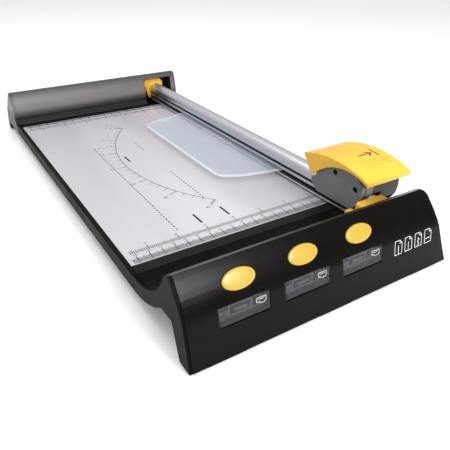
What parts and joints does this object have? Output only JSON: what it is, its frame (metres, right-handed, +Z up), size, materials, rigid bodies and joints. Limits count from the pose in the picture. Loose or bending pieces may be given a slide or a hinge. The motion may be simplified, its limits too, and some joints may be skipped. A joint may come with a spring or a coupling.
{
  "type": "rotary paper trimmer",
  "caption": "Rotary paper trimmer: flat ruled bed, rail with sliding pressed cutting head, clear paper guard, and front housing that stores spare blade cartridges.",
  "frame": {"origin": "under the middle of the whole machine, on the surface it stands on", "axes": "+X to the right along the front housing, +Y away from the user along the rail, +Z up"},
  "size_m": [0.224, 0.5, 0.0648],
  "materials": {
    "black_plastic": "moulded black plastic with a fine grain",
    "gloss_black": "high gloss black moulding",
    "rear_grey": "satin anthracite moulding",
    "bed_silver": "satin silver sheet with printed guides",
    "trim_grey": "satin dark grey",
    "strip_plastic": "self-healing cutting strip",
    "rubber": "soft black rubber",
    "screw_steel": "zinc plated steel",
    "aluminium": "anodised extrusion with fine die lines",
    "yellow": "golden yellow gloss moulding",
    "clear_acrylic": "clear faintly blue acrylic",
    "spring_steel": "bright spring steel",
    "head_grey": "satin mid grey moulding",
    "dark_screw": "blackened steel",
    "saddle_nylon": "slippery black nylon",
    "cartridge_grey": "mid grey moulding",
    "blade_steel": "ground blade steel",
    "smoked_clear": "smoked clear window"
  },
  "bodies": {
    "base": {"base_frame": "black_plastic", "base_screws": "screw_steel", "bed_front_trim": "trim_grey", "bed_plate": "bed_silver", "button_leaf_left": "spring_steel", "button_leaf_middle": "spring_steel", "button_leaf_right": "spring_steel", "cartridge_tray": "black_plastic", "cutting_strip": "strip_plastic", "front_housing": "gloss_black", "front_left_end": "gloss_black", "front_ramp": "gloss_black", "front_right_end": "gloss_black", "front_underside": "black_plastic", "rail_front_post": "black_plastic", "rail_front_spring": "spring_steel", "rail_rear_post": "black_plastic", "rail_rear_spring": "spring_steel", "rear_housing": "rear_grey", "rear_left_end": "rear_grey", "rear_right_end": "rear_grey", "rear_underside": "black_plastic", "rubber_feet": "rubber", "spare_blades": "blade_steel", "spare_cartridge_left": "cartridge_grey", "spare_cartridge_middle": "cartridge_grey", "spare_cartridge_right": "cartridge_grey", "underside_cover": "black_plastic"},
    "rail": {"rail_extrusion": "aluminium", "rail_grip_strip": "rubber", "rail_front_cap": "yellow", "rail_rear_cap": "yellow", "rail_cap_screws": "screw_steel", "paper_guard": "clear_acrylic"},
    "cutting_head": {"head_left_shell": "head_grey", "head_right_shell": "head_grey", "head_screws": "dark_screw", "head_saddle": "saddle_nylon", "press_spring": "spring_steel"},
    "press_unit": {"press_cap": "yellow", "blade_cartridge": "cartridge_grey", "blade_axle": "screw_steel"},
    "blade": {"rotary_blade": "blade_steel"},
    "button_left": {"release_button_left": "yellow"},
    "door_left": {"storage_door_left": "smoked_clear"},
    "button_middle": {"release_button_middle": "yellow"},
    "door_middle": {"storage_door_middle": "smoked_clear"},
    "button_right": {"release_button_right": "yellow"},
    "door_right": {"storage_door_right": "smoked_clear"}
  },
  "joints": [
    {"name": "rail_press", "type": "slide", "parent": "base", "child": "rail", "axis": [0, 0, -1], "range_m": [0, 0.001], "stiffness_N_per_m": 3000, "springref_m": -0.002, "deforming": ["rail_front_spring", "rail_rear_spring"]},
    {"name": "head_slide", "type": "slide", "parent": "rail", "child": "cutting_head", "axis": [0, 1, 0], "range_m": [0, 0.324]},
    {"name": "head_press", "type": "slide", "parent": "cutting_head", "child": "press_unit", "axis": [0, 0, -1], "range_m": [0, 0.0024], "stiffness_N_per_m": 1200, "springref_m": -0.002, "deforming": ["press_spring"]},
    {"name": "blade_spin", "type": "hinge", "parent": "press_unit", "child": "blade", "pos_m": [0.091, -0.166, 0.0378], "axis": [1, 0, 0], "continuous": true},
    {"name": "button_left_press", "type": "slide", "parent": "base", "child": "button_left", "axis": [0, 0.8625, -0.506], "range_m": [0, 0.0025], "stiffness_N_per_m": 400, "springref_m": -0.001},
    {"name": "door_left_tilt", "type": "hinge", "parent": "base", "child": "door_left", "pos_m": [-0.0715, -0.24493, 0.02338], "axis": [1, 0, 0], "range_deg": [0, 55]},
    {"name": "button_middle_press", "type": "slide", "parent": "base", "child": "button_middle", "axis": [0, 0.8625, -0.506], "range_m": [0, 0.0025], "stiffness_N_per_m": 400, "springref_m": -0.001},
    {"name": "door_middle_tilt", "type": "hinge", "parent": "base", "child": "door_middle", "pos_m": [-0.024, -0.24493, 0.02338], "axis": [1, 0, 0], "range_deg": [0, 55]},
    {"name": "button_right_press", "type": "slide", "parent": "base", "child": "button_right", "axis": [0, 0.8625, -0.506], "range_m": [0, 0.0025], "stiffness_N_per_m": 400, "springref_m": -0.001},
    {"name": "door_right_tilt", "type": "hinge", "parent": "base", "child": "door_right", "pos_m": [0.0235, -0.24493, 0.02338], "axis": [1, 0, 0], "range_deg": [0, 55]}
  ]
}
